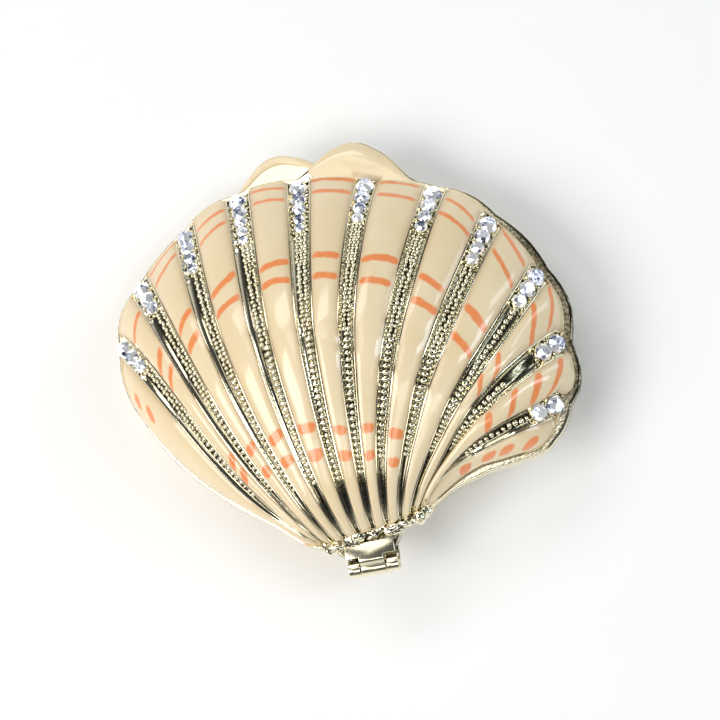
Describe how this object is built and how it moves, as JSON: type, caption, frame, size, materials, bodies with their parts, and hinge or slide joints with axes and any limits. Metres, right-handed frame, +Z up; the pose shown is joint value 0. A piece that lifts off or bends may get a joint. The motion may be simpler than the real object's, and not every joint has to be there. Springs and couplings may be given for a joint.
{
  "type": "shell trinket box",
  "caption": "Hinged scallop shell trinket box of cast metal, with cream enamel ribs, gold channels set with rhinestones, and thumb lips at the front.",
  "frame": {"origin": "middle of the box's bounds, on the surface that it stands on", "axes": "+X along the hinge axis, -Y to the lip that opens, +Z up"},
  "size_m": [0.0662, 0.0636, 0.0234],
  "materials": {
    "enamelled_shell": "glossy enamel over cast metal",
    "pale_gold": "polished pale gold plate",
    "rhinestone": "foil-backed cut glass"
  },
  "bodies": {
    "base": {"bowl": "enamelled_shell", "hinge_bowl_leaf": "pale_gold", "hinge_pin": "pale_gold"},
    "lid": {"lid": "enamelled_shell", "hinge_lid_leaf": "pale_gold", "rhinestone_1_1": "rhinestone", "rhinestone_1_2": "rhinestone", "rhinestone_1_3": "rhinestone", "rhinestone_2_1": "rhinestone", "rhinestone_2_2": "rhinestone", "rhinestone_2_3": "rhinestone", "rhinestone_3_1": "rhinestone", "rhinestone_3_2": "rhinestone", "rhinestone_3_3": "rhinestone", "rhinestone_3_4": "rhinestone", "rhinestone_4_1": "rhinestone", "rhinestone_4_2": "rhinestone", "rhinestone_4_3": "rhinestone", "rhinestone_4_4": "rhinestone", "rhinestone_4_5": "rhinestone", "rhinestone_5_1": "rhinestone", "rhinestone_5_2": "rhinestone", "rhinestone_5_3": "rhinestone", "rhinestone_5_4": "rhinestone", "rhinestone_5_5": "rhinestone", "rhinestone_6_1": "rhinestone", "rhinestone_6_2": "rhinestone", "rhinestone_6_3": "rhinestone", "rhinestone_6_4": "rhinestone", "rhinestone_7_1": "rhinestone", "rhinestone_7_2": "rhinestone", "rhinestone_7_3": "rhinestone", "rhinestone_7_4": "rhinestone", "rhinestone_8_1": "rhinestone", "rhinestone_8_2": "rhinestone", "rhinestone_8_3": "rhinestone", "rhinestone_8_4": "rhinestone", "rhinestone_9_1": "rhinestone", "rhinestone_9_2": "rhinestone", "rhinestone_9_3": "rhinestone", "rhinestone_10_1": "rhinestone", "rhinestone_10_2": "rhinestone", "rhinestone_11_1": "rhinestone", "rhinestone_11_2": "rhinestone"}
  },
  "joints": [
    {"name": "lid_hinge", "type": "hinge", "parent": "base", "child": "lid", "pos_m": [0.00044, 0.0306, 0.0098], "axis": [-1, 0, 0], "range_deg": [0, 90]}
  ]
}
